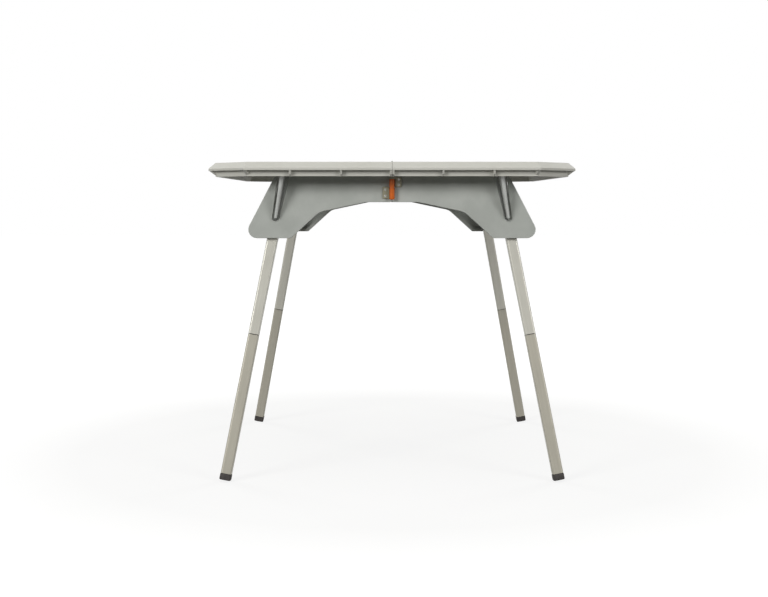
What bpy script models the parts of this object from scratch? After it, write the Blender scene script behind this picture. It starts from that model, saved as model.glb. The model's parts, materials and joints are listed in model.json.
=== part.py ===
# Camping table: two half tops that fold up on a seam hinge, aprons, leg brackets and plug-in legs in two lengths.
# Metres, +Z up. The floor is z = 0 and the table's centre is x = y = 0. The front faces -Y, the left half is at -X.
import math

import bmesh
import bpy
from mathutils import Matrix, Vector

# Clearance between pieces that touch, and the finest turn of a rounded corner
FIT = 0.0003
ARC_STEP = math.radians(22.5)

# Top: a square with cut corners, in two halves
TOP_SIZE = 0.844
TOP_HEIGHT = 0.730
CORNER_CUT = 0.0905
SEAM_GAP = 0.0006
SEAM_WALL = 0.004
PLATE = 0.004
EDGE_SLOPE_IN = 0.0155
EDGE_SLOPE_DROP = 0.0136
NOSE_HEIGHT = 0.0042
CHANNEL_HEIGHT = 0.0118
CHANNEL_IN = 0.0205
LIP_HEIGHT = 0.0023
LIP_IN = 0.0155
LIP_WIDTH = 0.0125
RIM_DRAFT = 0.004
RIM_ROUND = 0.0009

# Ribs in the rim's channel, and the ribs under the plate
RIM_RIB = 0.0048
RIM_POST = 0.0070
RIM_RIB_PITCH = 0.1142
CHANNEL_END_WALL = 0.0050
UNDER_RIB = 0.003
UNDER_RIB_DEPTH = 0.010
UNDER_RIB_PITCH_X = 0.140
UNDER_RIB_PITCH_Y = 0.150

# Seam hinge, let into the top, short of its edge at each end
HINGE_FROM_EDGE = 0.039
HINGE_PIN_RADIUS = 0.0010
HINGE_KNUCKLE_WALL = 0.0010
HINGE_KNUCKLES = 7
HINGE_LEAF = 0.0010
HINGE_LEAF_WIDTH = 0.0122

# Aprons: a pan with a smooth outer face, set in from the top's edge and hanging below its face
APRON_IN = 0.082
APRON_DROP = 0.173
APRON_DEPTH = 0.012
APRON_SKIN = 0.004
APRON_RIM = 0.008
APRON_LOW_END_IN = 0.0778
APRON_SPREAD = 0.528
APRON_FOOT_LENGTH = 0.1108
APRON_KNEE_RUN = 0.0664
APRON_KNEE_RISE = 0.0602
APRON_ARCH_HALF = 0.0600
APRON_ARCH_RISE = 0.0828
APRON_CORNER = 0.020
APRON_SMALL_CORNER = 0.006
APRON_ARCH_ROUND = 0.009
APRON_KNEE_ROUND = 0.030
APRON_EDGE_ROUND = 0.0018
SEAM_NICK = 0.003

# Legs: one axis line per corner, which meets the top's face in from the edge and spreads on its way down
LEG_IN_X = 0.1790
LEG_IN_Y = 0.1304
LEG_SIDE_LEAN = math.tan(math.radians(10.96))
LEG_END_LEAN = math.tan(math.radians(7.41))
LEG_WIDTH = 0.025
LEG_WALL = 0.0016
LEG_ROUND = 0.0045
LEG_TOP_DROP = 0.029
LEG_JOINT_SHARE = 0.459
JOINER_UP = 0.045
JOINER_DOWN = 0.070
JOINER_FLANGE = 0.0010
FOOT_WIDTH = 0.0262
FOOT_HEIGHT = 0.015
FOOT_PLUG = 0.022
FOOT_EDGE_ROUND = 0.0022

# Leg bracket: base plate, socket and a fin that passes through the apron
SOCKET_WALL = 0.0025
SOCKET_ABOVE_APRON = 0.0168
COLLAR_HEIGHT = 0.0075
COLLAR_PROUD = 0.0006
BASE_SIZE = 0.074
BASE_THICKNESS = 0.004
BASE_CORNER = 0.010
FIN_THICKNESS = 0.006
FIN_DROP = 0.1255
FIN_TOP_PROUD = 0.043
FIN_LOW_PROUD = 0.0065
FIN_BEAD_TOP = 0.0052
FIN_BEAD_LOW = 0.0034
SLOT_TOP_DROP = 0.021
SLOT_TOP_WIDTH = 0.029
SLOT_LOW_WIDTH = 0.017

# Catch at the foot of each apron seam
BARREL_RADIUS = 0.00625
BARREL_LENGTH = 0.0474
BARREL_DROP = 0.0372
BARREL_DOME = 0.0035
BARREL_GROOVE_FROM_TOP = 0.0188
BARREL_GROOVE_HEIGHT = 0.0028
BARREL_GROOVE_DEPTH = 0.0010
BARREL_BORE_DEPTH = 0.0150
BARREL_STAND_OFF = 0.0012
CATCH_PIN_RADIUS = 0.0022
CATCH_PLATE = 0.003
CATCH_ARM = 0.0030
CATCH_REACH = 0.022
CATCH_PLATE_FROM_SEAM = 0.0072
CATCH_RIGHT_HEIGHT = 0.0232
CATCH_LEFT_ABOVE_BARREL_LOW = 0.0023
CATCH_LEFT_HEIGHT = 0.0275
CATCH_CORNER = 0.002
SADDLE_WALL = 0.0022
SADDLE_FROM_PLATE_END = 0.0040
CATCH_EDGE_ROUND = 0.0006

# Heights and places that follow from the sizes above
HALF = TOP_SIZE / 2
NOSE_TOP_Z = TOP_HEIGHT - EDGE_SLOPE_DROP
NOSE_LOW_Z = NOSE_TOP_Z - NOSE_HEIGHT
LIP_TOP_Z = NOSE_LOW_Z - CHANNEL_HEIGHT
LIP_LOW_Z = LIP_TOP_Z - LIP_HEIGHT
PLATE_LOW_Z = TOP_HEIGHT - PLATE
UNDER_RIB_Z = PLATE_LOW_Z - UNDER_RIB_DEPTH
UNDER_TOP_Z = UNDER_RIB_Z - FIT
SEAM_X = SEAM_GAP / 2
RIM_INNER_IN = LIP_IN + LIP_WIDTH
HINGE_LENGTH = TOP_SIZE - 2 * HINGE_FROM_EDGE
HINGE_AXIS_Z = TOP_HEIGHT + FIT
HINGE_BORE_RADIUS = HINGE_PIN_RADIUS + FIT
HINGE_KNUCKLE_RADIUS = HINGE_BORE_RADIUS + HINGE_KNUCKLE_WALL
HINGE_KNUCKLE_ROOM = HINGE_KNUCKLE_RADIUS + 2 * FIT
APRON_FACE_Y = HALF - APRON_IN
APRON_BACK_Y = APRON_FACE_Y - APRON_DEPTH
APRON_BOTTOM = TOP_HEIGHT - APRON_DROP
APRON_LOW_HALF = HALF - APRON_LOW_END_IN
APRON_FOOT_INNER = APRON_LOW_HALF - APRON_FOOT_LENGTH
APRON_ARCH_Z = APRON_BOTTOM + APRON_ARCH_RISE
LEG_HALF = LEG_WIDTH / 2
LEG_TOP_Z = TOP_HEIGHT - LEG_TOP_DROP
LEG_JOINT_Z = TOP_HEIGHT * LEG_JOINT_SHARE
PLUG_HALF = LEG_HALF - LEG_WALL - FIT
SOCKET_BORE_HALF = LEG_HALF + FIT
SOCKET_HALF = SOCKET_BORE_HALF + SOCKET_WALL
SOCKET_LOW_Z = APRON_BOTTOM + SOCKET_ABOVE_APRON
COLLAR_LOW_Z = SOCKET_LOW_Z - COLLAR_HEIGHT
FIN_LOW_Z = TOP_HEIGHT - FIN_DROP
FIN_TOP_REACH = APRON_FACE_Y + FIN_TOP_PROUD
FIN_LOW_REACH = APRON_FACE_Y + FIN_LOW_PROUD
SLOT_TOP_Z = TOP_HEIGHT - SLOT_TOP_DROP
BARREL_Y = APRON_FACE_Y + BARREL_STAND_OFF + BARREL_RADIUS
BARREL_TOP_Z = TOP_HEIGHT - BARREL_DROP
BARREL_LOW_Z = BARREL_TOP_Z - BARREL_LENGTH
BARREL_GROOVE_Z = BARREL_TOP_Z - BARREL_GROOVE_FROM_TOP
BARREL_BORE_LOW_Z = BARREL_TOP_Z - BARREL_BORE_DEPTH
CATCH_TOP_Z = LIP_LOW_Z - 2 * FIT
CATCH_LEFT_LOW_Z = BARREL_LOW_Z + CATCH_LEFT_ABOVE_BARREL_LOW
CATCH_LEFT_TOP_Z = CATCH_LEFT_LOW_Z + CATCH_LEFT_HEIGHT

COLOURS = {
    "moulded_top": ((0.560, 0.545, 0.500), 0.55, 0.0),
    "apron_grey": ((0.330, 0.345, 0.325), 0.45, 0.1),
    "bracket_grey": ((0.420, 0.430, 0.420), 0.40, 0.4),
    "leg_metal": ((0.470, 0.435, 0.375), 0.38, 0.8),
    "dark_moulding": ((0.030, 0.028, 0.026), 0.60, 0.0),
    "foot_rubber": ((0.030, 0.028, 0.026), 0.80, 0.0),
    "hinge_metal": ((0.500, 0.500, 0.490), 0.35, 1.0),
    "catch_orange": ((0.620, 0.210, 0.030), 0.35, 0.3),
}


# Scene, materials and objects

def clear_scene():
    for thing in list(bpy.data.objects):
        bpy.data.objects.remove(thing)


def make_collection(name):
    collection = bpy.data.collections.new(name)
    bpy.context.scene.collection.children.link(collection)
    return collection


def make_materials():
    materials = {}
    for name, (colour, roughness, metallic) in COLOURS.items():
        material = bpy.data.materials.new(name)
        material.use_nodes = True
        shader = material.node_tree.nodes["Principled BSDF"]
        shader.inputs["Base Color"].default_value = (*colour, 1.0)
        shader.inputs["Roughness"].default_value = roughness
        shader.inputs["Metallic"].default_value = metallic
        materials[name] = material
    return materials


def add_piece(name, mesh, material, place=None):
    """One named solid of the table, at its place."""
    mesh = mesh.copy()
    mesh.materials.clear()
    mesh.materials.append(MATERIALS[material])
    mesh.shade_smooth()
    mesh.set_sharp_from_angle(angle=math.radians(30))
    piece = bpy.data.objects.new(name, mesh)
    TABLE.objects.link(piece)
    piece.matrix_world = place or Matrix.Identity(4)
    return piece


# Outlines

def rounded(corners):
    """Points of a closed outline whose corners (a, b, radius) are turned into arcs."""
    points = []
    for index, (a, b, radius) in enumerate(corners):
        corner = Vector((a, b))
        if radius <= 0:
            points.append(corner)
            continue
        before = (Vector(corners[index - 1][:2]) - corner).normalized()
        after = (Vector(corners[(index + 1) % len(corners)][:2]) - corner).normalized()
        half = before.angle(after) / 2
        centre = corner + (before + after).normalized() * (radius / math.sin(half))
        start = corner + before * (radius / math.tan(half)) - centre
        end = corner + after * (radius / math.tan(half)) - centre
        sweep = start.angle(end)
        steps = max(1, math.ceil(sweep / ARC_STEP))
        for step in range(steps + 1):
            share = step / steps
            spoke = start * math.sin((1 - share) * sweep) + end * math.sin(share * sweep)
            points.append(centre + spoke / math.sin(sweep))
    return points


def inset(corners, distance):
    """The same corners, with every edge of the anticlockwise outline moved inwards."""
    moved = []
    for index, (a, b, radius) in enumerate(corners):
        corner = Vector((a, b))
        arriving = (corner - Vector(corners[index - 1][:2])).normalized()
        leaving = (Vector(corners[(index + 1) % len(corners)][:2]) - corner).normalized()
        turn = arriving.x * leaving.y - arriving.y * leaving.x
        inward = Vector((-arriving.y - leaving.y, arriving.x + leaving.x)).normalized()
        reach = distance / math.cos(arriving.angle(leaving) / 2)
        new_radius = radius - distance if turn > 0 else radius + distance
        moved.append((*(corner + inward * reach), max(new_radius, 0.0) if radius else 0.0))
    return moved


def square(half, radius):
    return [(half, half, radius), (-half, half, radius), (-half, -half, radius), (half, -half, radius)]


def rectangle(low_a, high_a, low_b, high_b, radius=0.0):
    return [(high_a, high_b, radius), (low_a, high_b, radius), (low_a, low_b, radius), (high_a, low_b, radius)]


# Solids

PLANES = {
    "XY": lambda a, b, c: (a, b, c),
    "XZ": lambda a, b, c: (a, c, b),
    "YZ": lambda a, b, c: (c, a, b),
}


def mesh_from(bm):
    bmesh.ops.recalc_face_normals(bm, faces=bm.faces)
    mesh = bpy.data.meshes.new("solid")
    bm.to_mesh(mesh)
    bm.free()
    return mesh


def prism(corners, low, high, plane="XY"):
    """A flat outline pulled from low to high, square to its plane."""
    bm = bmesh.new()
    base = [bm.verts.new(PLANES[plane](a, b, low)) for a, b in rounded(corners)]
    face = bm.faces.new(base)
    pulled = bmesh.ops.extrude_face_region(bm, geom=[face])["geom"]
    travel = Vector(PLANES[plane](0.0, 0.0, high - low))
    bmesh.ops.translate(bm, vec=travel, verts=[v for v in pulled if isinstance(v, bmesh.types.BMVert)])
    return mesh_from(bm)


def tube(outer, inner, low, high):
    """A prism along Z with a bore right through; both outlines have as many points."""
    bm = bmesh.new()
    loops = []
    for corners in (outer, inner):
        points = [bm.verts.new((a, b, low)) for a, b in rounded(corners)]
        loops += [bm.edges.new((points[i - 1], points[i])) for i in range(len(points))]
    ring = bmesh.ops.bridge_loops(bm, edges=loops)["faces"]
    pulled = bmesh.ops.extrude_face_region(bm, geom=ring)["geom"]
    pulled_points = [v for v in pulled if isinstance(v, bmesh.types.BMVert)]
    bmesh.ops.translate(bm, vec=(0, 0, high - low), verts=pulled_points)
    return mesh_from(bm)


def rod(start, start_radius, end, end_radius, sides=16, end_round=0.0):
    """A round bar between two points, tapered if its radii differ, with a rounded far end if asked."""
    start, end = Vector(start), Vector(end)
    along = end - start
    turn = Vector((0, 0, 1)).rotation_difference(along).to_matrix().to_4x4()
    place = Matrix.Translation((start + end) / 2) @ turn
    bm = bmesh.new()
    bmesh.ops.create_cone(bm, cap_ends=True, segments=sides, radius1=start_radius, radius2=end_radius,
                          depth=along.length)
    if end_round:
        rim = [e for e in bm.edges if all(v.co.z > 0 for v in e.verts)]
        bmesh.ops.bevel(bm, geom=rim, offset=end_round, segments=3, profile=0.5, affect="EDGES")
    bm.transform(place)
    return mesh_from(bm)


def turned(profile, sides=24):
    """A closed round solid about Z, from a profile of (radius, height) that runs down its outer side."""
    bm = bmesh.new()
    points = [bm.verts.new((radius, 0, height)) for radius, height in profile]
    for upper, lower in zip(points, points[1:]):
        bm.edges.new((upper, lower))
    mesh = bpy.data.meshes.new("profile")
    bm.to_mesh(mesh)
    bm.free()
    return worked(mesh, screw(sides))


def joined(meshes):
    """Several meshes as one, for tools whose bodies stay apart."""
    bm = bmesh.new()
    for mesh in meshes:
        bm.from_mesh(mesh)
    result = bpy.data.meshes.new("group")
    bm.to_mesh(result)
    bm.free()
    return result


def moved(mesh, matrix):
    copy = mesh.copy()
    copy.transform(matrix)
    if matrix.determinant() < 0:
        copy.flip_normals()
    return copy


# Steps of work on a solid, each a modifier that worked() applies

def screw(sides):
    return "SCREW", {"steps": sides, "render_steps": sides, "angle": 2 * math.pi, "axis": "Z",
                     "use_merge_vertices": True, "merge_threshold": 0.00001, "use_normal_calculate": False}


def bevel(width, segments=2, angle=40):
    return "BEVEL", {"width": width, "segments": segments, "limit_method": "ANGLE",
                     "angle_limit": math.radians(angle), "use_clamp_overlap": True}


def boolean(operation, mesh):
    cutter = bpy.data.objects.new("cutter", mesh)
    cutter.hide_render = True
    cutter.display_type = "WIRE"
    CUTTERS.objects.link(cutter)
    return "BOOLEAN", {"operation": operation, "object": cutter, "solver": "EXACT"}


def union(mesh):
    return boolean("UNION", mesh)


def cut(mesh):
    return boolean("DIFFERENCE", mesh)


def worked(mesh, *steps):
    """The mesh after its modifiers, in the order given."""
    blank = bpy.data.objects.new("blank", mesh)
    CUTTERS.objects.link(blank)
    for kind, settings in steps:
        modifier = blank.modifiers.new(kind.lower(), kind)
        for name, value in settings.items():
            setattr(modifier, name, value)
    seen = blank.evaluated_get(bpy.context.evaluated_depsgraph_get())
    result = bpy.data.meshes.new_from_object(seen)
    for used in list(CUTTERS.objects):
        bpy.data.objects.remove(used)
    return result


# Top halves, drawn for the right half and mirrored to the left

def top_ring(inset_by, seam_x, height):
    """The half top's outline at one height, from the seam's front end round to its rear end."""
    edge = HALF - inset_by
    corner = HALF - CORNER_CUT - inset_by * (math.sqrt(2) - 1)
    plan = [(seam_x, -edge), (corner, -edge), (edge, -corner), (edge, corner), (corner, edge), (seam_x, edge)]
    return [(x, y, height) for x, y in plan]


def top_blank():
    """The rim's section swept round the outline, with a flat seam side and a thick plate."""
    inner_seam = SEAM_X + SEAM_WALL
    sections = [
        (EDGE_SLOPE_IN, SEAM_X, TOP_HEIGHT), (0.0, SEAM_X, NOSE_TOP_Z), (0.0, SEAM_X, NOSE_LOW_Z),
        (CHANNEL_IN, SEAM_X, NOSE_LOW_Z), (LIP_IN, SEAM_X, LIP_TOP_Z),
        (LIP_IN, SEAM_X, LIP_LOW_Z), (RIM_INNER_IN, inner_seam, LIP_LOW_Z),
        (RIM_INNER_IN + RIM_DRAFT, inner_seam, UNDER_RIB_Z)]
    bm = bmesh.new()
    rings = [[bm.verts.new(point) for point in top_ring(*section)] for section in sections]
    bm.faces.new(rings[0])
    bm.faces.new(rings[-1])
    seam_rings = len(rings) - 2
    for index, (upper, lower) in enumerate(zip(rings, rings[1:])):
        closed = index >= seam_rings - 1
        for edge in range(6 if closed else 5):
            follower = (edge + 1) % 6
            bm.faces.new((upper[edge], upper[follower], lower[follower], lower[edge]))
    outer = rings[:seam_rings]
    bm.faces.new([ring[0] for ring in outer] + [ring[5] for ring in reversed(outer)])
    crests = [edge for edge in bm.edges if any(all(v in ring for v in edge.verts) for ring in rings[:3])]
    crests = [edge for edge in crests if not all(abs(v.co.x - SEAM_X) < FIT for v in edge.verts)]
    bmesh.ops.recalc_face_normals(bm, faces=bm.faces)
    bmesh.ops.bevel(bm, geom=crests, offset=RIM_ROUND, segments=2, profile=0.5, affect="EDGES")
    return mesh_from(bm)


def rim_rib(x, y, inset_step, thickness, set_back=0.0):
    """A rib across the rim's channel from a point of the outline; inset_step is where one metre of inset leads."""
    sink = FIT * 2
    slant = (LIP_IN - RIM_ROUND) / CHANNEL_HEIGHT
    section = [(RIM_ROUND - slant * sink + sink, NOSE_LOW_Z + sink), (LIP_IN + slant * sink, LIP_TOP_Z - sink),
               (CHANNEL_IN + sink, LIP_TOP_Z - sink), (CHANNEL_IN + sink, NOSE_LOW_Z + sink)]
    inwards = Vector(inset_step)
    aside = inwards.orthogonal().normalized() * thickness / 2
    bm = bmesh.new()
    bmesh.ops.create_cube(bm, size=2.0)
    for v in bm.verts:
        inner, upper, side = v.co.x > 0, v.co.z > 0, v.co.y
        depth, height = section[(3 if inner else 0) if upper else (2 if inner else 1)]
        plan = Vector((x, y)) + inwards * (depth + set_back) + aside * side
        v.co = (plan.x, plan.y, height)
    return mesh_from(bm)


def rim_ribs():
    corner, slip = HALF - CORNER_CUT, math.sqrt(2) - 1
    set_back = RIM_POST / 2 * math.sin(math.radians(22.5))
    ribs = []
    for end in (-1, 1):
        ribs.append(rim_rib(SEAM_X + CHANNEL_END_WALL / 2, end * HALF, (0, -end), CHANNEL_END_WALL))
        for x in (RIM_RIB_PITCH, 2 * RIM_RIB_PITCH):
            ribs.append(rim_rib(x, end * HALF, (0, -end), RIM_RIB))
        ribs.append(rim_rib(corner, end * HALF, (-slip, -end), RIM_POST, set_back))
        ribs.append(rim_rib(HALF, end * corner, (-1, -end * slip), RIM_POST, set_back))
    for count in range(-2, 3):
        ribs.append(rim_rib(HALF, count * RIM_RIB_PITCH, (-1, 0), RIM_RIB))
    return joined(ribs)


def underside_pockets():
    """Pockets between the ribs under the plate, cut off at the top's slanted corners."""
    inner = HALF - RIM_INNER_IN - RIM_DRAFT - UNDER_RIB
    seam = SEAM_X + SEAM_WALL
    across = [seam] + [k * UNDER_RIB_PITCH_X for k in (1, 2)] + [inner + UNDER_RIB / 2]
    along = [-inner] + [k * UNDER_RIB_PITCH_Y for k in range(-2, 3)] + [inner]
    slant = (2 * HALF - CORNER_CUT) / math.sqrt(2) - RIM_INNER_IN - RIM_DRAFT - UNDER_RIB
    pockets = []
    half_rib = UNDER_RIB / 2
    for low_x, high_x in zip(across, across[1:]):
        for low_y, high_y in zip(along, along[1:]):
            corners = rectangle(low_x + half_rib, high_x - half_rib, low_y + half_rib, high_y - half_rib)
            bm = bmesh.new()
            bm.from_mesh(prism(corners, UNDER_RIB_Z - PLATE, PLATE_LOW_Z))
            for end in (-1, 1):
                normal = Vector((1, end, 0)).normalized()
                whole = bm.verts[:] + bm.edges[:] + bm.faces[:]
                split = bmesh.ops.bisect_plane(bm, geom=whole, plane_co=normal * slant, plane_no=normal,
                                               clear_outer=True)
                rim = [e for e in split["geom_cut"] if isinstance(e, bmesh.types.BMEdge)]
                if rim:
                    bmesh.ops.holes_fill(bm, edges=rim)
            pockets.append(mesh_from(bm))
    return joined(pockets)


def hinge_recess():
    leaf_floor = TOP_HEIGHT - HINGE_LEAF - FIT
    knuckle_floor = HINGE_AXIS_Z - HINGE_KNUCKLE_ROOM
    above = TOP_HEIGHT + PLATE
    wide = HINGE_LEAF_WIDTH + FIT
    corners = [(wide, above, 0), (-wide, above, 0), (-wide, knuckle_floor, 0),
               (HINGE_KNUCKLE_ROOM, knuckle_floor, 0), (HINGE_KNUCKLE_ROOM, leaf_floor, 0),
               (wide, leaf_floor, 0)]
    reach = HINGE_LENGTH / 2 + FIT
    return prism(corners, -reach, reach, "XZ")


def make_tops():
    half = worked(top_blank(), cut(underside_pockets()), union(rim_ribs()), cut(hinge_recess()))
    add_piece("right_top", half, "moulded_top")
    add_piece("left_top", half, "moulded_top", Matrix.Diagonal((-1, 1, 1, 1)))


# Seam hinge

def hinge_leaf(first):
    """A leaf to the right of the seam with every second knuckle, starting from the first or the second."""
    pitch = HINGE_LENGTH / HINGE_KNUCKLES
    leaf_low = TOP_HEIGHT - HINGE_LEAF
    leaf = prism(rectangle(HINGE_KNUCKLE_ROOM, HINGE_LEAF_WIDTH, leaf_low, TOP_HEIGHT),
                 -HINGE_LENGTH / 2, HINGE_LENGTH / 2, "XZ")
    webs, barrels = [], []
    for index in range(first, HINGE_KNUCKLES, 2):
        low = -HINGE_LENGTH / 2 + index * pitch + (FIT / 2 if index else 0)
        high = -HINGE_LENGTH / 2 + (index + 1) * pitch - (FIT / 2 if index < HINGE_KNUCKLES - 1 else 0)
        web_start = HINGE_BORE_RADIUS + HINGE_KNUCKLE_WALL / 3
        web_end = HINGE_KNUCKLE_ROOM + HINGE_LEAF
        webs.append(prism(rectangle(web_start, web_end, leaf_low, TOP_HEIGHT), low, high, "XZ"))
        barrels.append(rod((0, low, HINGE_AXIS_Z), HINGE_KNUCKLE_RADIUS, (0, high, HINGE_AXIS_Z),
                           HINGE_KNUCKLE_RADIUS))
    bore = rod((0, -HINGE_LENGTH, HINGE_AXIS_Z), HINGE_BORE_RADIUS, (0, HINGE_LENGTH, HINGE_AXIS_Z),
               HINGE_BORE_RADIUS)
    return worked(leaf, union(joined(webs)), union(joined(barrels)), cut(bore))


def make_hinge():
    add_piece("hinge_right_leaf", hinge_leaf(1), "hinge_metal")
    add_piece("hinge_left_leaf", hinge_leaf(0), "hinge_metal", Matrix.Diagonal((-1, 1, 1, 1)))
    pin_half = HINGE_LENGTH / 2 - FIT
    pin = rod((0, -pin_half, 0), HINGE_PIN_RADIUS, (0, pin_half, 0), HINGE_PIN_RADIUS)
    add_piece("hinge_pin", pin, "hinge_metal", Matrix.Translation((0, 0, HINGE_AXIS_Z)))


# Aprons, drawn for the rear right and mirrored

def leg_axis(height):
    """Where the leg's axis is at a height, measured from the table's centre in x and in y."""
    below = TOP_HEIGHT - height
    return HALF - LEG_IN_X + LEG_SIDE_LEAN * below, HALF - LEG_IN_Y + LEG_END_LEAN * below


def apron_corners():
    """Half an apron seen from the front, anticlockwise from the foot of its seam."""
    top_half = APRON_LOW_HALF - APRON_SPREAD * (UNDER_TOP_Z - APRON_BOTTOM)
    notch = SEAM_X + SEAM_WALL + FIT + APRON_EDGE_ROUND
    knee = (APRON_FOOT_INNER - APRON_KNEE_RUN, APRON_BOTTOM + APRON_KNEE_RISE, APRON_KNEE_ROUND)
    return [
        (SEAM_X, APRON_ARCH_Z + SEAM_NICK, 0), (SEAM_X + SEAM_NICK, APRON_ARCH_Z, 0),
        (APRON_ARCH_HALF, APRON_ARCH_Z, APRON_ARCH_ROUND), knee,
        (APRON_FOOT_INNER, APRON_BOTTOM, APRON_SMALL_CORNER), (APRON_LOW_HALF, APRON_BOTTOM, APRON_CORNER),
        (top_half, UNDER_TOP_Z, 0), (notch, UNDER_TOP_Z, 0), (notch, LIP_LOW_Z - FIT, 0),
        (SEAM_X, LIP_LOW_Z - FIT, 0)]


def leaning(mesh):
    """A piece drawn about x = 0 and set on the sloping plane that holds the leg's axis."""
    shear = Matrix.Identity(4)
    shear[0][2] = -LEG_SIDE_LEAN
    shear[0][3] = leg_axis(0)[0]
    return moved(mesh, shear)


def fin_slot():
    """The slot's cutter, wider at the top, with a round foot below the fin."""
    top_half, low_half = SLOT_TOP_WIDTH / 2, SLOT_LOW_WIDTH / 2
    low = FIN_LOW_Z - low_half
    corners = [(top_half, SLOT_TOP_Z, FIN_THICKNESS / 2), (-top_half, SLOT_TOP_Z, FIN_THICKNESS / 2),
               (-low_half, low, low_half * 0.9), (low_half, low, low_half * 0.9)]
    return leaning(prism(corners, APRON_BACK_Y - APRON_DEPTH, APRON_FACE_Y + APRON_DEPTH, "XZ"))


def make_aprons():
    outline = apron_corners()
    notch = outline[7]
    panel = [(notch[0], APRON_ARCH_Z, 0)] + outline[2:8]
    pocket = prism(inset(panel, APRON_RIM), APRON_BACK_Y - APRON_DEPTH, APRON_FACE_Y - APRON_SKIN, "XZ")
    blank = prism(outline, APRON_BACK_Y, APRON_FACE_Y, "XZ")
    apron = worked(blank, bevel(APRON_EDGE_ROUND), cut(pocket), cut(fin_slot()))
    for end, side, place in corners_of_table():
        add_piece(f"{end}_{side}_apron", apron, "apron_grey", place)


def corners_of_table():
    """Each corner's names and the mirror that carries the rear right corner there."""
    for end, sign_y in (("front", -1), ("rear", 1)):
        for side, sign_x in (("left", -1), ("right", 1)):
            yield end, side, Matrix.Diagonal((sign_x, sign_y, 1, 1))


# Leg brackets and legs

def leg_frame():
    """Origin where the rear right leg's axis meets the floor, Z up along the leg, faces to front and side."""
    along = Vector((-LEG_SIDE_LEAN, -LEG_END_LEAN, 1)).normalized()
    across = (Vector((1, 0, 0)) - along * along.x).normalized()
    deep = along.cross(across)
    # The two side axes are turned alike, so that neither face looks more aside than the other
    twist = math.atan2(across.y + deep.x, across.x + deep.y) / 2
    frame = Matrix((across, deep, along)).transposed().to_4x4()
    frame.translation = (*leg_axis(0), 0)
    return frame @ Matrix.Rotation(-twist, 4, "Z")


def leg_length(height):
    """Distance along the leg's axis from the floor to a height."""
    return height * math.hypot(1, LEG_SIDE_LEAN, LEG_END_LEAN)


def bracket_fin():
    """The fin's plate and the bead along its sloping outer edge."""
    inner = leg_axis(UNDER_TOP_Z)[1]
    fin_top_z = SLOT_TOP_Z - FIT
    bead_top_z = fin_top_z - FIN_BEAD_TOP / 2
    outline = [(inner, FIN_LOW_Z, 0), (FIN_LOW_REACH, FIN_LOW_Z, 0), (FIN_TOP_REACH, bead_top_z, 0),
               (FIN_TOP_REACH, fin_top_z, 0), (inner, fin_top_z, 0)]
    plate = leaning(prism(outline, -FIN_THICKNESS / 2, FIN_THICKNESS / 2, "YZ"))
    high, low = Vector((0, FIN_TOP_REACH, bead_top_z)), Vector((0, FIN_LOW_REACH, FIN_LOW_Z))
    past_end = (low - high).normalized() * FIN_BEAD_LOW / 2
    bead = leaning(rod(high - past_end, FIN_BEAD_TOP, low + past_end, FIN_BEAD_LOW, end_round=FIN_BEAD_LOW * 0.8))
    return plate, bead


def make_brackets():
    frame = leg_frame()
    socket_high = leg_length(TOP_HEIGHT)
    socket = prism(square(SOCKET_HALF, LEG_ROUND + SOCKET_WALL), leg_length(SOCKET_LOW_Z), socket_high)
    bore = prism(square(SOCKET_BORE_HALF, LEG_ROUND), leg_length(SOCKET_LOW_Z) - LEG_WIDTH,
                 leg_length(LEG_TOP_Z) + FIT)
    middle, half = leg_axis(UNDER_TOP_Z)[0], BASE_SIZE / 2
    base_edge = APRON_BACK_Y - FIT
    base = prism(rectangle(middle - half, middle + half, base_edge - BASE_SIZE, base_edge, BASE_CORNER),
                 UNDER_TOP_Z - BASE_THICKNESS, UNDER_TOP_Z + BASE_THICKNESS)
    above = prism(rectangle(0, HALF, 0, HALF), UNDER_TOP_Z, TOP_HEIGHT + LEG_WIDTH)
    plate, bead = bracket_fin()
    bracket = worked(moved(socket, frame), union(plate), union(bead), union(base), cut(above),
                     cut(moved(bore, frame)))
    collar = tube(square(SOCKET_HALF + COLLAR_PROUD, LEG_ROUND + SOCKET_WALL), square(SOCKET_BORE_HALF, LEG_ROUND),
                  leg_length(COLLAR_LOW_Z), leg_length(SOCKET_LOW_Z) - FIT)
    collar = moved(collar, frame)
    for end, side, place in corners_of_table():
        add_piece(f"{end}_{side}_leg_bracket", bracket, "bracket_grey", place)
        add_piece(f"{end}_{side}_collar", collar, "dark_moulding", place)


def foot_shape():
    """Foot cap with its lower face at z = 0: a block below the tube and a plug inside it."""
    block = prism(square(FOOT_WIDTH / 2, LEG_ROUND), 0, FOOT_HEIGHT)
    block = worked(block, bevel(FOOT_EDGE_ROUND))
    plug = prism(square(PLUG_HALF, LEG_ROUND - LEG_WALL), FOOT_HEIGHT / 2, FOOT_HEIGHT + FOOT_PLUG)
    return worked(block, union(plug))


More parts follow.
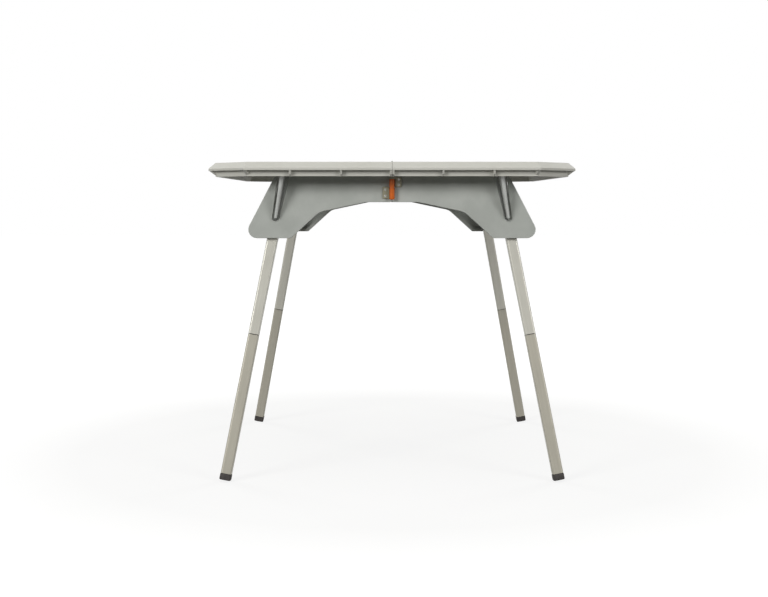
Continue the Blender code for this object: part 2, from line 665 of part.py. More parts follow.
def make_legs():
    frame = leg_frame()
    foot = foot_shape()
    # The foot is cut square to its leg, so it stands on one corner, which sets how high the leg starts
    lowest = min((frame @ v.co).z for v in foot.vertices)
    start = leg_length(-lowest)
    bore_half = LEG_HALF - LEG_WALL
    section, bore = square(LEG_HALF, LEG_ROUND), square(bore_half, LEG_ROUND - LEG_WALL)
    joint = leg_length(LEG_JOINT_Z)
    flange_half = JOINER_FLANGE / 2
    lower = tube(section, bore, start + FOOT_HEIGHT + FIT, joint - flange_half - FIT)
    upper = tube(section, bore, joint + flange_half + FIT, leg_length(LEG_TOP_Z))
    spigot = prism(square(PLUG_HALF, LEG_ROUND - LEG_WALL), joint - JOINER_DOWN, joint + JOINER_UP)
    flange = prism(square(LEG_HALF, LEG_ROUND), joint - flange_half, joint + flange_half)
    joiner = worked(spigot, union(flange))
    for end, side, place in corners_of_table():
        for piece, mesh, material in (("upper_leg", upper, "leg_metal"), ("leg_joiner", joiner, "dark_moulding"),
                                      ("lower_leg", lower, "leg_metal")):
            add_piece(f"{end}_{side}_{piece}", mesh, material, place @ frame)
        add_piece(f"{end}_{side}_foot", foot, "foot_rubber", place @ frame @ Matrix.Translation((0, 0, start)))


# Catches: an orange barrel on the right half's pin lies in the left half's open saddle

def barrel_shape():
    """The barrel about its own axis, at its real height, with a bore for its pin and a groove round it."""
    groove = BARREL_RADIUS - BARREL_GROOVE_DEPTH
    bore = CATCH_PIN_RADIUS + FIT
    half_groove = BARREL_GROOVE_HEIGHT / 2
    profile = [
        (0, BARREL_BORE_LOW_Z), (bore, BARREL_BORE_LOW_Z), (bore, BARREL_TOP_Z),
        (BARREL_RADIUS - CATCH_EDGE_ROUND, BARREL_TOP_Z), (BARREL_RADIUS, BARREL_TOP_Z - CATCH_EDGE_ROUND),
        (BARREL_RADIUS, BARREL_GROOVE_Z + half_groove), (groove, BARREL_GROOVE_Z + half_groove),
        (groove, BARREL_GROOVE_Z - half_groove), (BARREL_RADIUS, BARREL_GROOVE_Z - half_groove)]
    for step in range(4):
        angle = step / 4 * math.pi / 2
        profile.append((BARREL_RADIUS - BARREL_DOME * (1 - math.cos(angle)),
                        BARREL_LOW_Z + BARREL_DOME * (1 - math.sin(angle))))
    profile += [(BARREL_RADIUS - BARREL_DOME, BARREL_LOW_Z), (0, BARREL_LOW_Z)]
    return turned(profile)


def right_catch():
    """Plate on the apron, arm over the barrel and the pin that the barrel turns on."""
    plate_y = APRON_FACE_Y + FIT
    plate = prism(rectangle(CATCH_PLATE_FROM_SEAM, CATCH_REACH, CATCH_TOP_Z - CATCH_RIGHT_HEIGHT, CATCH_TOP_Z,
                            CATCH_CORNER), plate_y, plate_y + CATCH_PLATE, "XZ")
    arm_low = BARREL_TOP_Z + FIT
    arm = prism(rectangle(-BARREL_RADIUS, CATCH_PLATE_FROM_SEAM + CATCH_ARM, plate_y + CATCH_PLATE / 2,
                          BARREL_Y + BARREL_RADIUS, CATCH_PLATE / 3), arm_low, arm_low + CATCH_ARM)
    pin = rod((0, BARREL_Y, arm_low + CATCH_ARM / 2), CATCH_PIN_RADIUS,
              (0, BARREL_Y, BARREL_BORE_LOW_Z + FIT), CATCH_PIN_RADIUS)
    return worked(plate, bevel(CATCH_EDGE_ROUND, 1), union(arm), union(pin))


def left_catch():
    """Plate on the apron and an open saddle round the barrel's left side."""
    plate_y = APRON_FACE_Y + FIT
    plate = prism(rectangle(-CATCH_REACH, -BARREL_RADIUS, CATCH_LEFT_LOW_Z, CATCH_LEFT_TOP_Z, CATCH_CORNER),
                  plate_y, plate_y + CATCH_PLATE, "XZ")
    inner, outer = BARREL_RADIUS + FIT, BARREL_RADIUS + FIT + SADDLE_WALL
    low, high = CATCH_LEFT_LOW_Z + SADDLE_FROM_PLATE_END, CATCH_LEFT_TOP_Z - SADDLE_FROM_PLATE_END
    shell = rod((0, BARREL_Y, low), outer, (0, BARREL_Y, high), outer, sides=24)
    bore = rod((0, BARREL_Y, low - inner), inner, (0, BARREL_Y, high + inner), inner, sides=24)
    # What is left of the shell cups the back of the barrel's left side
    tools = [rectangle(-SEAM_X, CATCH_REACH, APRON_BACK_Y, BARREL_Y + CATCH_REACH),
             rectangle(-CATCH_REACH, CATCH_REACH, APRON_BACK_Y, plate_y),
             rectangle(-CATCH_REACH, CATCH_REACH, BARREL_Y, BARREL_Y + CATCH_REACH)]
    saddle = worked(shell, *[cut(prism(tool, low - inner, high + inner)) for tool in tools])
    return worked(plate, bevel(CATCH_EDGE_ROUND, 1), union(saddle), cut(bore))


def make_catches():
    barrel, right, left = barrel_shape(), right_catch(), left_catch()
    for end, sign_y in (("front", -1), ("rear", 1)):
        mirror = Matrix.Diagonal((1, sign_y, 1, 1))
        add_piece(f"{end}_right_catch", right, "hinge_metal", mirror)
        add_piece(f"{end}_left_catch", left, "hinge_metal", mirror)
        add_piece(f"{end}_barrel", barrel, "catch_orange", Matrix.Translation((0, sign_y * BARREL_Y, 0)))


clear_scene()
TABLE = make_collection("camping_table")
CUTTERS = make_collection("cutters")
MATERIALS = make_materials()
make_tops()
make_hinge()
make_aprons()
make_brackets()
make_legs()
make_catches()
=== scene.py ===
# Camping table, dressed: fine edges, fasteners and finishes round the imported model
import json
import math

import bpy
from mathutils import Matrix, Vector


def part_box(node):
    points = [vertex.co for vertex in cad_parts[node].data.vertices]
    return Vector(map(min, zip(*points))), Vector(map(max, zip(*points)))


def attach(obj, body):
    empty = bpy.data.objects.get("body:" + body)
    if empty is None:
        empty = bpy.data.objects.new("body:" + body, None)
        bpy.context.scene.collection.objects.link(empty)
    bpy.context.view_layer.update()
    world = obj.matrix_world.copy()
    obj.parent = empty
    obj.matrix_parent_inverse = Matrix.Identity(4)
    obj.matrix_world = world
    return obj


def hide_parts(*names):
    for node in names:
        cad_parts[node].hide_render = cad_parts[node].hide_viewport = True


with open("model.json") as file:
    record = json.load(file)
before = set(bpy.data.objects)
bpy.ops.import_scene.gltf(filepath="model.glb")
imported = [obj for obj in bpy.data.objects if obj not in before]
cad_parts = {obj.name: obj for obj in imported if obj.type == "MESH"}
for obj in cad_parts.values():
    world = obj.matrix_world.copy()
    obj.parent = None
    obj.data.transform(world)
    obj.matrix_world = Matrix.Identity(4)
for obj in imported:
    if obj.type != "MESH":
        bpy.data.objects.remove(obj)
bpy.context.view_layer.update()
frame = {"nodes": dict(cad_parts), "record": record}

mm = 0.001
behaviour = frame["record"]["behaviour"]
nodeBodies = {node: body for body, nodes in behaviour["bodies"].items() for node in nodes}
jointAxes = {joint["name"]: joint["axis"] for joint in behaviour["joints"]}
corners = [(end, side) for end in ("front", "rear") for side in ("left", "right")]
signOf = {"front": -1, "rear": 1, "left": -1, "right": 1}
topFaceZ = frame["record"]["mounts"][0]["pos_m"][2]
topHalf = max(abs(c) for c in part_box("right_top")[1][:2])


# Materials. Colours are sRGB hex values, and a pattern's scale comes from a size in millimetres

def linearColour(hexValue):
    channels = [int(hexValue[i:i + 2], 16) / 255 for i in (1, 3, 5)]
    linear = [c / 12.92 if c <= 0.04045 else ((c + 0.055) / 1.055) ** 2.4 for c in channels]
    return (*linear, 1.0)


def perMetre(sizeInMm):
    return 1 / (sizeInMm * mm)


def addNode(tree, kind, settings=None, links=None):  # a socket goes by its name or its number
    node = tree.nodes.new(kind)
    for name, value in (settings or {}).items():
        if isinstance(name, int) or name in node.inputs:
            node.inputs[name].default_value = value
        else:
            setattr(node, name, value)
    for name, source in (links or {}).items():
        tree.links.new(source, node.inputs[name])
    return node


def newMaterial(look):
    material = bpy.data.materials.new(look["name"])
    material.use_nodes = True
    tree = material.node_tree
    shader = tree.nodes["Principled BSDF"]
    shader.inputs["Metallic"].default_value = look["metallic"]
    shader.inputs["Specular IOR Level"].default_value = look["gloss"]
    return material, tree, shader


# The part of a noise's values that is spread over a look's two colours, or its two roughnesses
softSpan = (0.35, 0.65)
fineSpan = (0.30, 0.70)
fullSpan = (0.0, 1.0)


def tintAndRoughen(tree, shader, look, tint, tintSpan, wear, wearSpan):
    deepness = addNode(tree, "ShaderNodeMapRange", {"From Min": tintSpan[0], "From Max": tintSpan[1]},
                       {"Value": tint})
    # A colour Mix node takes its two colours on sockets 6 and 7 and gives the result on socket 2
    colour = addNode(tree, "ShaderNodeMix", {"data_type": "RGBA", 6: linearColour(look["pale"]),
                                             7: linearColour(look["deep"])}, {0: deepness.outputs["Result"]})
    rough = addNode(tree, "ShaderNodeMapRange",
                    {"From Min": wearSpan[0], "From Max": wearSpan[1], "To Min": look["roughness"][0],
                     "To Max": look["roughness"][1]}, {"Value": wear})
    tree.links.new(colour.outputs[2], shader.inputs["Base Color"])
    tree.links.new(rough.outputs["Result"], shader.inputs["Roughness"])


# Moulded polypropylene from a spark-eroded mould: an even fine grain that spreads every highlight wide.
# The real grain is about 0.2 mm and wouldn't show, so it is drawn coarser, as it is on the next two plastics
mouldedTop = {"name": "mouldedPolypropylene", "pale": "#cbcac2", "deep": "#c6c5bc", "grainMm": 1.1, "cloudMm": 90,
              "grainHeight": 0.10 * mm, "metallic": 0.0, "gloss": 0.22, "roughness": (0.50, 0.62)}
# Glass-filled nylon with a satin skin: greyer, tighter, with faint flow clouds
apronNylon = {"name": "glassFilledNylon", "pale": "#b5b8b2", "deep": "#abaea8", "grainMm": 0.8, "cloudMm": 60,
              "grainHeight": 0.05 * mm, "metallic": 0.0, "gloss": 0.20, "roughness": (0.44, 0.54)}
# Black nylon, moulded smooth: nearly even, with a dull sheen on its edges
blackMoulding = {"name": "blackMouldedNylon", "pale": "#35322f", "deep": "#2a2826", "grainMm": 0.7, "cloudMm": 20,
                 "grainHeight": 0.05 * mm, "metallic": 0.0, "gloss": 0.30, "roughness": (0.48, 0.60)}
# Powder coat on cast aluminium: orange peel a millimetre or two across, under a clear sheen
castBracket = {"name": "powderCoatedCasting", "pale": "#c6c8c4", "deep": "#babcb8", "grainMm": 1.8, "cloudMm": 40,
               "grainHeight": 0.05 * mm, "metallic": 0.10, "gloss": 0.60, "roughness": (0.24, 0.33)}
# Moulded rubber: charcoal and matt, a little dusty, its 0.3 mm grain drawn coarser to show
footRubber = {"name": "blackRubber", "pale": "#4a4644", "deep": "#3b3836", "grainMm": 0.9, "cloudMm": 12,
              "grainHeight": 0.08 * mm, "metallic": 0.0, "gloss": 0.30, "roughness": (0.66, 0.80)}


def grainedMaterial(look):
    material, tree, shader = newMaterial(look)
    place = addNode(tree, "ShaderNodeTexCoord").outputs["Object"]
    cloud = addNode(tree, "ShaderNodeTexNoise", {"Scale": perMetre(look["cloudMm"]), "Detail": 4.0,
                                                 "Roughness": 0.55}, {"Vector": place}).outputs["Fac"]
    grain = addNode(tree, "ShaderNodeTexNoise", {"Scale": perMetre(look["grainMm"]), "Detail": 2.0,
                                                 "Roughness": 0.6}, {"Vector": place}).outputs["Fac"]
    tintAndRoughen(tree, shader, look, cloud, softSpan, grain, fineSpan)
    bump = addNode(tree, "ShaderNodeBump", {"Strength": 0.6, "Distance": look["grainHeight"]}, {"Height": grain})
    tree.links.new(bump.outputs["Normal"], shader.inputs["Normal"])
    return material


# Champagne anodised extrusion: drawing lines along the tube under a soft oxide film. The lines are 0.1 mm apart on
# a real tube and drawn six times as coarse, to show
upperTube = {"name": "anodisedExtrusion", "pale": "#c4c2b8", "deep": "#b5b3a8", "lineMm": 0.6, "lineLengthMm": 90,
             "lineHeight": 0.04 * mm, "cloudMm": 70, "metallic": 0.25, "gloss": 0.50, "roughness": (0.34, 0.46)}
# The lower tube's colours are darker and a little warmer than the upper tube's. This is partly the lower tube's own
# tone and partly painted shade for the weaker light that reaches the legs low down, near the floor
lowerTubeToneAndPaintedShade = {"name": "anodisedExtrusionLowerToneAndPaintedShade", "pale": "#b2aea1", "deep": "#a29e90", "lineMm": 0.6,
             "lineLengthMm": 90, "lineHeight": 0.04 * mm, "cloudMm": 70, "metallic": 0.25, "gloss": 0.50,
             "roughness": (0.34, 0.46)}


def tubeMaterial(look):
    material, tree, shader = newMaterial(look)
    along = addNode(tree, "ShaderNodeAttribute", {"attribute_name": "tubeCoord"}).outputs["Vector"]
    stretch = addNode(tree, "ShaderNodeMapping", {"Scale": (perMetre(look["lineMm"]), perMetre(look["lineMm"]),
                                                            perMetre(look["lineLengthMm"]))}, {"Vector": along})
    lines = addNode(tree, "ShaderNodeTexNoise", {"Scale": 1.0, "Detail": 3.0, "Roughness": 0.6},
                    {"Vector": stretch.outputs["Vector"]}).outputs["Fac"]
    clouds = addNode(tree, "ShaderNodeTexNoise", {"Scale": perMetre(look["cloudMm"]), "Detail": 3.0},
                     {"Vector": along}).outputs["Fac"]
    tintAndRoughen(tree, shader, look, lines, fineSpan, clouds, softSpan)
    bump = addNode(tree, "ShaderNodeBump", {"Strength": 0.35, "Distance": look["lineHeight"]}, {"Height": lines})
    tree.links.new(bump.outputs["Normal"], shader.inputs["Normal"])
    return material


# Rolled and zinc-plated steel: fine scratches in every direction break up its gloss, drawn 0.9 mm apart to show
platedSteel = {"name": "zincPlatedSteel", "pale": "#b4b4b1", "deep": "#969692", "scratchMm": 0.9, "metallic": 0.9,
               "gloss": 0.50, "roughness": (0.34, 0.50)}
# Die-cast zinc left as cast, chromated: a dull straw tint that only glints on its edges. Its mottling is finer than
# the 1.4 mm that it is drawn at, to show
castZinc = {"name": "chromatedDieCastZinc", "pale": "#96927b", "deep": "#787462", "scratchMm": 1.4,
            "metallic": 0.12, "gloss": 0.50, "roughness": (0.36, 0.55)}


def scratchedMaterial(look):
    material, tree, shader = newMaterial(look)
    place = addNode(tree, "ShaderNodeTexCoord").outputs["Object"]
    scratches = addNode(tree, "ShaderNodeTexNoise", {"Scale": perMetre(look["scratchMm"]), "Detail": 5.0,
                                                     "Distortion": 1.5}, {"Vector": place}).outputs["Fac"]
    tintAndRoughen(tree, shader, look, scratches, fineSpan, scratches, fineSpan)
    return material


# Turned aluminium under a thick orange anodised film: a warm soft gloss over lathe rings, drawn 3 mm apart to show
orangeBarrel = {"name": "orangeAnodisedBarrel", "pale": "#dd6e0c", "deep": "#a84504", "ringMm": 2.961,
                "ringHeight": 0.03 * mm, "metallic": 0.12, "gloss": 0.30, "roughness": (0.24, 0.36)}


def barrelMaterial(look):
    material, tree, shader = newMaterial(look)
    place = addNode(tree, "ShaderNodeTexCoord").outputs["Object"]
    wavePeriod = 2 * math.pi / 20  # what a Wave texture repeats at when its scale is 1
    rings = addNode(tree, "ShaderNodeTexWave", {"wave_type": "BANDS", "bands_direction": "Z", "Distortion": 0.6,
                                                "Scale": wavePeriod * perMetre(look["ringMm"]), "Detail": 2.0},
                    {"Vector": place}).outputs["Fac"]
    tintAndRoughen(tree, shader, look, rings, fullSpan, rings, fullSpan)
    bump = addNode(tree, "ShaderNodeBump", {"Strength": 0.3, "Distance": look["ringHeight"]}, {"Height": rings})
    tree.links.new(bump.outputs["Normal"], shader.inputs["Normal"])
    return material


materials = {
    "moulded_top": grainedMaterial(mouldedTop),
    "apron_grey": grainedMaterial(apronNylon),
    "bracket_grey": grainedMaterial(castBracket),
    "dark_moulding": grainedMaterial(blackMoulding),
    "foot_rubber": grainedMaterial(footRubber),
    "upper_tube": tubeMaterial(upperTube),
    "lower_tube": tubeMaterial(lowerTubeToneAndPaintedShade),
    "hinge_metal": scratchedMaterial(platedSteel),
    "catch_cast": scratchedMaterial(castZinc),
    "catch_orange": barrelMaterial(orangeBarrel),
}
print("materials made:", len(materials))


# Modelling helpers

def onlySelect(piece):
    bpy.ops.object.select_all(action="DESELECT")
    piece.select_set(True)
    bpy.context.view_layer.objects.active = piece


def applyAll(piece):
    onlySelect(piece)
    for modifier in list(piece.modifiers):
        bpy.ops.object.modifier_apply(modifier=modifier.name)


def settle(piece):  # the place goes into the mesh, as a CAD node's does
    onlySelect(piece)
    bpy.ops.object.transform_apply(location=True, rotation=True, scale=True)


def finishPiece(piece, name, material, body):
    piece.name = name
    piece.data.materials.clear()
    piece.data.materials.append(materials[material])
    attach(piece, body)


def setCopy(model, name, place, body, material):
    piece = bpy.data.objects.new(name, model.data.copy())
    bpy.context.scene.collection.objects.link(piece)
    piece.matrix_world = place
    settle(piece)
    finishPiece(piece, name, material, body)


# Dressed copies: a CAD solid merged, its flat faces joined again and its edges broken by a small radius
dressing = {"merge": 0.02 * mm, "joinAngle": math.radians(0.6), "edgeAngle": math.radians(28), "edgeSegments": 2,
            "smoothAngle": math.radians(33)}
brokenEdge = {"top": 0.35 * mm, "apron": 0.9 * mm, "leg_bracket": 0.4 * mm, "collar": 0.5 * mm, "foot": 0.4 * mm,
              "leg": 0.25 * mm, "catch": 0.15 * mm, "barrel": 0.2 * mm}


def dressedCopy(node, material, edge, reshape=None):
    source = frame["nodes"][node]
    piece = bpy.data.objects.new(node + "_finish", source.data.copy())
    piece.matrix_world = source.matrix_world.copy()
    bpy.context.scene.collection.objects.link(piece)
    onlySelect(piece)
    bpy.ops.object.mode_set(mode="EDIT")
    bpy.ops.mesh.select_all(action="SELECT")
    bpy.ops.mesh.remove_doubles(threshold=dressing["merge"])
    bpy.ops.mesh.dissolve_limited(angle_limit=dressing["joinAngle"])
    bpy.ops.object.mode_set(mode="OBJECT")
    if reshape:
        reshape(piece)
    rounding = piece.modifiers.new("broken edges", "BEVEL")
    rounding.width = edge
    rounding.segments = dressing["edgeSegments"]
    rounding.limit_method = "ANGLE"
    rounding.angle_limit = dressing["edgeAngle"]
    applyAll(piece)
    bpy.ops.object.shade_smooth_by_angle(angle=dressing["smoothAngle"])
    flatten = piece.modifiers.new("flat faces stay flat", "WEIGHTED_NORMAL")
    flatten.keep_sharp = True
    applyAll(piece)
    settle(piece)
    finishPiece(piece, node + "_finish", material, nodeBodies[node])
    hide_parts(node)
    return piece


# Top halves: in the rim's channel the wall starts further out under the nose than the plain solid's, so less of it
# lies in the nose's shade, and the nose reaches a little lower
channelWall = {"cornerCut": 90.5 * mm, "noseDrop": 17.8 * mm, "fromIn": 20.5 * mm, "toIn": 13.0 * mm,
               "lower": 1.1 * mm, "near": 0.4 * mm}


def bringChannelWallOut(piece):
    size = channelWall
    cutReach = (2 * topHalf - size["cornerCut"]) / math.sqrt(2)
    edges = []
    for turn in range(8):
        angle = math.radians(45 * turn)
        edges.append((Vector((math.cos(angle), math.sin(angle), 0)), cutReach if turn % 2 else topHalf))
    toWorld = piece.matrix_world
    toLocal = toWorld.inverted()
    noseLowZ = topFaceZ - size["noseDrop"]
    outward = size["fromIn"] - size["toIn"]
    for vertex in piece.data.vertices:
        place = toWorld @ vertex.co
        if abs(place.z - noseLowZ) > size["near"]:
            continue
        # The wall's own points stand as far in as the wall does, from one edge or at a corner from two
        met = [facing for facing, reach in edges if abs(reach - facing.dot(place) - size["fromIn"]) < size["near"]]
        if len(met) == 1:
            place += outward * met[0]
        if len(met) == 2:
            place += outward * (met[0] + met[1]) / (1 + met[0].dot(met[1]))
        place.z -= size["lower"]
        vertex.co = toLocal @ place


for side in ("left", "right"):
    dressedCopy(f"{side}_top", "moulded_top", brokenEdge["top"], bringChannelWallOut)
print("top halves dressed")

for end, side in corners:
    dressedCopy(f"{end}_{side}_apron", "apron_grey", brokenEdge["apron"])
    dressedCopy(f"{end}_{side}_leg_bracket", "bracket_grey", brokenEdge["leg_bracket"])
    dressedCopy(f"{end}_{side}_collar", "dark_moulding", brokenEdge["collar"])
    dressedCopy(f"{end}_{side}_foot", "foot_rubber", brokenEdge["foot"])
print("aprons, brackets, collars and feet dressed")


# Rim webs: each rib in the rim's channel gets a fuller foot, broad at the nose and at the lip
rimWeb = {"thick": 4.8 * mm, "inset": 0.8 * mm, "depth": 16.5 * mm, "noseDrop": 17.6 * mm, "lipDrop": 31.6 * mm,
          "footIn": 6.0 * mm, "footRise": 3.2 * mm, "edge": 0.9 * mm, "edgeSegments": 3, "merge": 0.01 * mm,
          "smoothAngle": math.radians(40), "pitch": 114.2 * mm, "fromSeam": 2.7 * mm}


def modelRimWeb():
    size = rimWeb
    low, high = topFaceZ - size["lipDrop"], topFaceZ - size["noseDrop"]
    bpy.ops.object.select_all(action="DESELECT")
    bpy.ops.mesh.primitive_cube_add(size=1, location=(0, size["inset"] + size["depth"] / 2, (low + high) / 2))
    web = bpy.context.object
    web.scale = (size["thick"], size["depth"], high - low)
    settle(web)
    bpy.ops.object.mode_set(mode="EDIT")
    # One slanting cut from the nose to the foot, one from the foot back under to the lip
    foot = Vector((0, size["inset"] + size["footIn"], low + size["footRise"]))
    slope = foot - Vector((0, size["inset"], high))
    under = Vector((0, size["inset"] + size["depth"], low)) - foot
    for line in (slope, under):
        bpy.ops.mesh.select_all(action="SELECT")
        bpy.ops.mesh.bisect(plane_co=foot, plane_no=Vector((0, line.z, -line.y)).normalized(), use_fill=True,
                            clear_inner=False, clear_outer=True)
    bpy.ops.mesh.select_all(action="SELECT")
    bpy.ops.mesh.remove_doubles(threshold=size["merge"])
    bpy.ops.mesh.normals_make_consistent(inside=False)
    bpy.ops.object.mode_set(mode="OBJECT")
    rounding = web.modifiers.new("soft edges", "BEVEL")
    rounding.width = size["edge"]
    rounding.segments = size["edgeSegments"]
    rounding.limit_method = "ANGLE"
    applyAll(web)
    bpy.ops.object.shade_smooth_by_angle(angle=size["smoothAngle"])
    return web


webModel = modelRimWeb()
for side in ("left", "right"):
    # Two ribs and the seam's own on the front and on the rear edge, then five along the side
    spots = [(signOf[side] * reach, turn) for turn in (0, 180)
             for reach in (rimWeb["pitch"], 2 * rimWeb["pitch"], rimWeb["fromSeam"])]
    spots += [(k * rimWeb["pitch"], 90 if side == "right" else -90) for k in range(-2, 3)]
    for number, (along, turn) in enumerate(spots):
        # The web is drawn for the front edge, and a turn about Z carries it to the others
        onFront = Matrix.Translation((-along if turn == 180 else along, -topHalf, 0))
        setCopy(webModel, f"{side}_rim_web_{number + 1}", Matrix.Rotation(math.radians(turn), 4, "Z") @ onFront,
                f"{side}_half", "moulded_top")
bpy.data.objects.remove(webModel)
print("rim webs set")


# Slot lips: a thin moulded bead stands round each slot that a bracket's fin comes through, in line with the leg
slotLip = {"bead": 0.85 * mm, "proud": 0.15 * mm, "topDrop": 27 * mm, "topHalf": 14.9 * mm, "lowHalf": 9.0 * mm,
           "footDrop": 125.5 * mm, "axisAtFloor": 384.4 * mm, "arcSteps": 10, "roundness": 3}


def modelSlotLip(end, side):
    size = slotLip
    axis = jointAxes[f"{end}_{side}_leg_pull"]
    low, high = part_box(f"{end}_{side}_apron")
    faceY = signOf[end] * (max(abs(low[1]), abs(high[1])) + size["proud"])
    topZ, footZ = topFaceZ - size["topDrop"], topFaceZ - size["footDrop"]
    outline = [(-size["topHalf"], topZ)]
    for k in range(size["arcSteps"] + 1):
        angle = math.pi * (1 + k / size["arcSteps"])
        outline.append((size["lowHalf"] * math.cos(angle), footZ + size["lowHalf"] * math.sin(angle)))
    outline.append((size["topHalf"], topZ))
    bpy.ops.object.select_all(action="DESELECT")
    bpy.ops.curve.primitive_bezier_curve_add()
    lip = bpy.context.object
    path = lip.data
    path.splines.clear()
    line = path.splines.new("POLY")
    line.points.add(len(outline) - 1)
    for point, (across, height) in zip(line.points, outline):
        middle = signOf[side] * size["axisAtFloor"] + axis[0] / axis[2] * height
        point.co = (middle + across, faceY, height, 1)
    path.bevel_depth = size["bead"]
    path.bevel_resolution = size["roundness"]
    path.use_fill_caps = True
    onlySelect(lip)
    bpy.ops.object.convert(target="MESH")
    lip = bpy.context.object
    bpy.ops.object.shade_smooth()
    settle(lip)
    finishPiece(lip, f"{end}_{side}_slot_lip", "apron_grey", f"{side}_half")


for end, side in corners:
    modelSlotLip(end, side)
print("slot lips set")


# Legs: the tubes carry their own coordinates, so that the drawing lines run along each of them

def tubeCoordinates(piece, slide):
    turn = Vector(jointAxes[slide]).normalized().rotation_difference(Vector((0, 0, 1))).to_matrix()
    values = [component for vertex in piece.data.vertices for component in turn @ vertex.co]
    attribute = piece.data.attributes.new("tubeCoord", "FLOAT_VECTOR", "POINT")
    attribute.data.foreach_set("vector", values)


for end, side in corners:
    for part in ("upper", "lower"):
        leg = dressedCopy(f"{end}_{side}_{part}_leg", f"{part}_tube", brokenEdge["leg"])
        tubeCoordinates(leg, f"{end}_{side}_leg_pull")
    frame["nodes"][f"{end}_{side}_leg_joiner"].material_slots[0].material = materials["dark_moulding"]
print("legs dressed")

for node in ("hinge_left_leaf", "hinge_right_leaf", "hinge_pin"):
    frame["nodes"][node].material_slots[0].material = materials["hinge_metal"]
for end in ("front", "rear"):
    for side in ("left", "right"):
        dressedCopy(f"{end}_{side}_catch", "catch_cast", brokenEdge["catch"])
    dressedCopy(f"{end}_barrel", "catch_orange", brokenEdge["barrel"])
print("hinge and catches dressed")


# Fasteners: one head is modelled, and every screw is a copy of it with its own mesh
screwHead = {"radius": 2.5 * mm, "height": 0.7 * mm, "sides": 32, "crown": 0.49 * mm, "crownSegments": 4,
             "crossLength": 3.25 * mm, "crossWidth": 0.7 * mm, "crossDepth": 0.5 * mm,
             "smoothAngle": math.radians(30)}


def modelScrewHead():
    size = screwHead
    bpy.ops.object.select_all(action="DESELECT")
    bpy.ops.mesh.primitive_cylinder_add(vertices=size["sides"], radius=size["radius"], depth=size["height"],
                                        location=(0, 0, size["height"] / 2))
    head = bpy.context.object
    crown = head.modifiers.new("crown", "BEVEL")
    crown.width = size["crown"]
    crown.segments = size["crownSegments"]
    crown.limit_method = "ANGLE"
    applyAll(head)
    for turn in (0, 90):
        bpy.ops.object.select_all(action="DESELECT")
        bpy.ops.mesh.primitive_cube_add(size=1, location=(0, 0, size["height"]),
                                        rotation=(0, 0, math.radians(turn)))
        bar = bpy.context.object
        bar.scale = (size["crossLength"], size["crossWidth"], size["crossDepth"] * 2)
        settle(bar)
        recess = head.modifiers.new("recess", "BOOLEAN")
        recess.operation = "DIFFERENCE"
        recess.object = bar
        applyAll(head)
        bpy.data.objects.remove(bar)
    onlySelect(head)
    bpy.ops.object.shade_smooth_by_angle(angle=size["smoothAngle"])
    return head


def setScrew(head, name, spot, turned, scale, side):
    place = Matrix.Translation(spot) @ turned @ Matrix.Scale(scale, 4)
    setCopy(head, name, place, f"{side}_half", "hinge_metal")


headModel = modelScrewHead()

# Hinge screws stand in the middle of each leaf, a hair into it. Each is turned from the last, by so many radians
hingeScrews = {"perLeaf": 8, "scale": 0.85, "sink": 0.1 * mm, "fromEdge": 4.2 * mm, "turn": 0.7}
for side in ("left", "right"):
    low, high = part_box(f"hinge_{side}_leaf")
    leafX = signOf[side] * (max(abs(low[0]), abs(high[0])) - hingeScrews["fromEdge"])
    pitch = (high[1] - low[1]) / hingeScrews["perLeaf"]
    for k in range(hingeScrews["perLeaf"]):
        spot = (leafX, low[1] + (k + 0.5) * pitch, topFaceZ - hingeScrews["sink"])
        setScrew(headModel, f"hinge_{side}_screw_{k + 1}", spot, Matrix.Rotation(hingeScrews["turn"] * k, 4, "Z"),
                 hingeScrews["scale"], side)

# Base plate screws under the top, one near each corner of a bracket's plate that the socket leaves free
plateScrews = {"inset": 9 * mm, "plateHalf": 37 * mm, "plateThick": 4 * mm, "scale": 1.3, "turn": 0.5}
for end, side in corners:
    low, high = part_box(f"{end}_{side}_leg_bracket")
    innerX = low[0] if side == "right" else high[0]
    innerY = high[1] if end == "front" else low[1]
    reach = 2 * (plateScrews["plateHalf"] - plateScrews["inset"])
    for k, (stepX, stepY) in enumerate(((0, 0), (1, 0), (0, 1))):
        spot = (innerX + signOf[side] * (plateScrews["inset"] + stepX * reach),
                innerY + signOf[end] * (plateScrews["inset"] + stepY * reach), high[2] - plateScrews["plateThick"])
        turned = Matrix.Rotation(math.pi, 4, "X") @ Matrix.Rotation(plateScrews["turn"] * k, 4, "Z")
        setScrew(headModel, f"{end}_{side}_plate_screw_{k + 1}", spot, turned, plateScrews["scale"], side)

# Catch screws, two on each plate, by their share of its height
catchScrews = {"shares": (0.24, 0.76), "fromEdge": 6.5 * mm, "plateThick": 3 * mm, "scale": 1.0}
for end, side in corners:
    low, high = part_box(f"{end}_{side}_catch")
    plateEdge = max(abs(low[0]), abs(high[0]))
    plateFace = signOf[end] * (min(abs(low[1]), abs(high[1])) + catchScrews["plateThick"])
    turned = Matrix.Rotation(-signOf[end] * math.pi / 2, 4, "X")
    for k, share in enumerate(catchScrews["shares"]):
        spot = (signOf[side] * (plateEdge - catchScrews["fromEdge"]), plateFace, low[2] + share * (high[2] - low[2]))
        setScrew(headModel, f"{end}_{side}_catch_screw_{k + 1}", spot, turned, catchScrews["scale"], side)
bpy.data.objects.remove(headModel)
print("screws set")


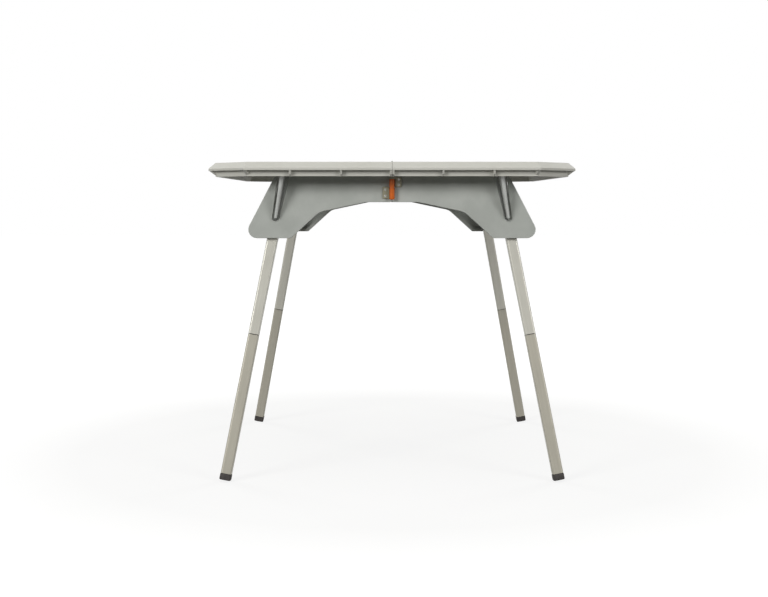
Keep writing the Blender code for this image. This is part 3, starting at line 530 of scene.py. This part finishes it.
# Floor, world, lamps and camera
stageSettings = {"floorColour": "#727270", "floorSize": 40.0, "nearGlow": 0.82, "nearRadius": 0.8, "farRadius": 1.5,
                 "worldLight": 0.05, "lampAim": (0, 0, 0.55)}
softboxes = {
    "left softbox": {"place": (-4.66, -5.23, 2.72), "size": (2.5, 2.1), "power": 300},
    "right softbox": {"place": (4.75, -4.94, 2.72), "size": (2.5, 2.1), "power": 200},
    "rear left softbox": {"place": (-4.4, 4.6, 2.9), "size": (2.4, 2.0), "power": 150},
    "rear right softbox": {"place": (4.4, 4.6, 2.9), "size": (2.4, 2.0), "power": 150},
    "overhead": {"place": (0.0, -0.4, 3.2), "size": (2.4, 2.0), "power": 24},
}
cameraSettings = {"place": (-0.0213, -3.1647, 0.6403), "down": 4.503, "right": 0.059, "lens": 57.46, "sensor": 36}


def whiteWhereSeen(tree, plain, white):  # rays from the camera, a gloss or a glass meet the white one
    rays = addNode(tree, "ShaderNodeLightPath").outputs
    seen = addNode(tree, "ShaderNodeMath", {"operation": "MAXIMUM"},
                   {0: rays["Is Camera Ray"], 1: rays["Is Glossy Ray"]})
    seenToo = addNode(tree, "ShaderNodeMath", {"operation": "MAXIMUM"},
                      {0: seen.outputs[0], 1: rays["Is Transmission Ray"]})
    mix = addNode(tree, "ShaderNodeMixShader", links={0: seenToo.outputs[0], 1: plain, 2: white})
    return mix.outputs[0]


def makeFloor():
    bpy.ops.object.select_all(action="DESELECT")
    bpy.ops.mesh.primitive_plane_add(size=stageSettings["floorSize"], location=(0, 0, 0))
    floor = bpy.context.object
    floor.name = "floor"
    material = bpy.data.materials.new("paleFloor")
    material.use_nodes = True
    tree = material.node_tree
    tree.nodes.clear()
    matte = addNode(tree, "ShaderNodeBsdfDiffuse", {"Color": linearColour(stageSettings["floorColour"])})
    place = addNode(tree, "ShaderNodeTexCoord").outputs["Object"]
    reach = addNode(tree, "ShaderNodeVectorMath", {"operation": "LENGTH"}, {0: place})
    # White at the back; near the table the glow leaves room for its soft shadow
    level = addNode(tree, "ShaderNodeMapRange",
                    {"From Min": stageSettings["nearRadius"], "From Max": stageSettings["farRadius"],
                     "To Min": stageSettings["nearGlow"], "To Max": 1.0}, {"Value": reach.outputs["Value"]})
    glow = addNode(tree, "ShaderNodeEmission", {"Color": (1, 1, 1, 1)}, {"Strength": level.outputs["Result"]})
    lifted = addNode(tree, "ShaderNodeAddShader", links={0: matte.outputs[0], 1: glow.outputs[0]})
    out = addNode(tree, "ShaderNodeOutputMaterial")
    tree.links.new(whiteWhereSeen(tree, matte.outputs[0], lifted.outputs[0]), out.inputs["Surface"])
    floor.data.materials.append(material)


def makeWorld():
    world = bpy.data.worlds.new("studio")
    world.use_nodes = True
    tree = world.node_tree
    tree.nodes.clear()
    dim = addNode(tree, "ShaderNodeBackground", {"Color": (1, 1, 1, 1), "Strength": stageSettings["worldLight"]})
    white = addNode(tree, "ShaderNodeBackground", {"Color": (1, 1, 1, 1), "Strength": 1.0})
    out = addNode(tree, "ShaderNodeOutputWorld")
    tree.links.new(whiteWhereSeen(tree, dim.outputs[0], white.outputs[0]), out.inputs["Surface"])
    bpy.context.scene.world = world


def addSoftbox(name, settings):
    lampData = bpy.data.lights.new(name, "AREA")
    lampData.shape = "RECTANGLE"
    lampData.size, lampData.size_y = settings["size"]
    lampData.energy = settings["power"]
    lamp = bpy.data.objects.new(name, lampData)
    bpy.context.scene.collection.objects.link(lamp)
    lamp.location = settings["place"]
    aim = Vector(stageSettings["lampAim"]) - Vector(settings["place"])
    lamp.rotation_euler = aim.to_track_quat("-Z", "Y").to_euler()


def makeCamera():
    cameraData = bpy.data.cameras.new("camera")
    cameraData.sensor_width = cameraSettings["sensor"]
    cameraData.lens = cameraSettings["lens"]
    camera = bpy.data.objects.new("camera", cameraData)
    bpy.context.scene.collection.objects.link(camera)
    camera.location = cameraSettings["place"]
    camera.rotation_euler = (math.radians(90 - cameraSettings["down"]), 0, -math.radians(cameraSettings["right"]))
    bpy.context.scene.camera = camera


makeFloor()
makeWorld()
for name, settings in softboxes.items():
    addSoftbox(name, settings)
makeCamera()
bpy.context.scene.view_settings.view_transform = "Standard"
print("stage, lamps and camera set")
